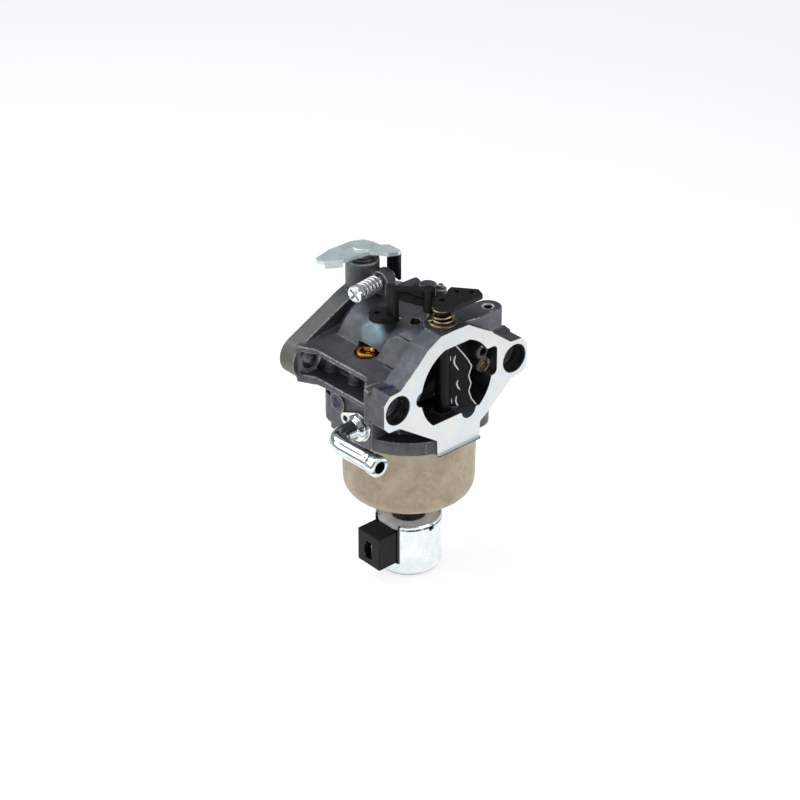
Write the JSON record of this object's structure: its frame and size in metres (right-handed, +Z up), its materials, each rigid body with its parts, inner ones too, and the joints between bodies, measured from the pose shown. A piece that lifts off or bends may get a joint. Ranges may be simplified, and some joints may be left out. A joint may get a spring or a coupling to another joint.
{
  "type": "carburetor",
  "caption": "Float-bowl carburetor with butterfly throttle and choke, tan bowl, fuel elbow and a shut-off solenoid below",
  "frame": {"origin": "centre of the engine flange's two stud holes, on the engine face and the bore's axis", "axes": "+Y along the air flow towards the engine, +Z up along the bowl and shaft axes, +X to the right seen from the inlet"},
  "size_m": [0.0837, 0.0633, 0.1322],
  "materials": {
    "cast_aluminium": "as-cast grey, machined on both flange faces",
    "bowl_coating": "satin tan chromate over stamped steel",
    "black_rubber": "moulded",
    "float_plastic": "moulded closed-cell",
    "steel": "ground",
    "dark_steel": "dark turned",
    "brass": "turned",
    "amber_brass": "turned, amber",
    "copper_brass": "turned, reddish",
    "copper": "enamelled copper wire",
    "zinc_plate": "clear zinc plate",
    "bright_zinc": "bright zinc plate",
    "bushing_metal": "oiled sintered bush",
    "gold_wire": "yellow zinc spring wire",
    "black_plastic": "glass-filled nylon",
    "connector_plastic": "moulded",
    "fibre": "sealing washer"
  },
  "bodies": {
    "carburetor": {"air_jet_left": "brass", "air_jet_right": "copper_brass", "ball_plug": "steel", "bowl_gasket": "black_rubber", "bowl_washer": "fibre", "choke_bushing": "bushing_metal", "choke_spring": "gold_wire", "coil_bobbin": "connector_plastic", "coil_winding": "copper", "connector_blade": "bright_zinc", "connector_housing": "connector_plastic", "float_bowl": "bowl_coating", "float_hinge_pin": "steel", "fuel_inlet_tube": "zinc_plate", "idle_jet": "amber_brass", "idle_screw_spring": "bright_zinc", "main_body": "cast_aluminium", "main_jet": "brass", "main_nozzle": "brass", "needle_seat": "brass", "passage_pin": "steel", "plunger_spring": "steel", "relay_pivot_pin": "steel", "solenoid_can": "bright_zinc", "solenoid_cap": "zinc_plate", "solenoid_neck": "dark_steel", "stud_side_left": "cast_aluminium", "stud_side_right": "cast_aluminium", "throttle_bore_plug": "zinc_plate", "throttle_bushing": "bushing_metal", "tube_clip": "zinc_plate"},
    "throttle": {"throttle_shaft": "steel", "throttle_plate": "brass", "throttle_plate_screws": "steel", "throttle_spacer": "steel", "throttle_lever": "zinc_plate"},
    "choke": {"choke_shaft": "black_plastic", "choke_plate": "black_plastic", "choke_lever": "black_plastic"},
    "relay": {"relay_lever": "black_plastic"},
    "idle_screw": {"idle_screw": "bright_zinc"},
    "float": {"float": "float_plastic"},
    "needle": {"inlet_needle": "brass"},
    "plunger": {"solenoid_plunger": "steel"}
  },
  "joints": [
    {"name": "throttle_turn", "type": "hinge", "parent": "carburetor", "child": "throttle", "pos_m": [0, -0.0052, 0], "axis": [0, 0, 1], "range_deg": [0, 75]},
    {"name": "choke_turn", "type": "hinge", "parent": "carburetor", "child": "choke", "pos_m": [-0.0009, -0.0525, 0], "axis": [0, 0, 1], "range_deg": [-50, 35]},
    {"name": "relay_turn", "type": "hinge", "parent": "carburetor", "child": "relay", "pos_m": [-0.0015, -0.0455, 0], "axis": [0, 0, 1], "range_deg": [-11, 16]},
    {"name": "idle_screw_turn", "type": "hinge", "parent": "carburetor", "child": "idle_screw", "pos_m": [-0.015, -0.0177, 0.0267], "axis": [0.9877, 0.1564, 0], "range_deg": [-720, 720]},
    {"name": "float_swing", "type": "hinge", "parent": "carburetor", "child": "float", "pos_m": [-0.02, -0.0323, -0.0323], "axis": [0, 1, 0], "range_deg": [0, 9]},
    {"name": "needle_lift", "type": "slide", "parent": "carburetor", "child": "needle", "axis": [0, 0, 1], "range_m": [-0.0011, 0]},
    {"name": "plunger_slide", "type": "slide", "parent": "carburetor", "child": "plunger", "axis": [0, 0, 1], "range_m": [-0.003, 0], "stiffness_N_per_m": 150, "springref_m": 0.004, "deforming": ["plunger_spring"]}
  ],
  "couplings": [
    {"joint": "relay_turn", "follows": "choke_turn", "ratio": -0.3},
    {"joint": "needle_lift", "follows": "float_swing", "m_per_rad": -0.0064}
  ]
}
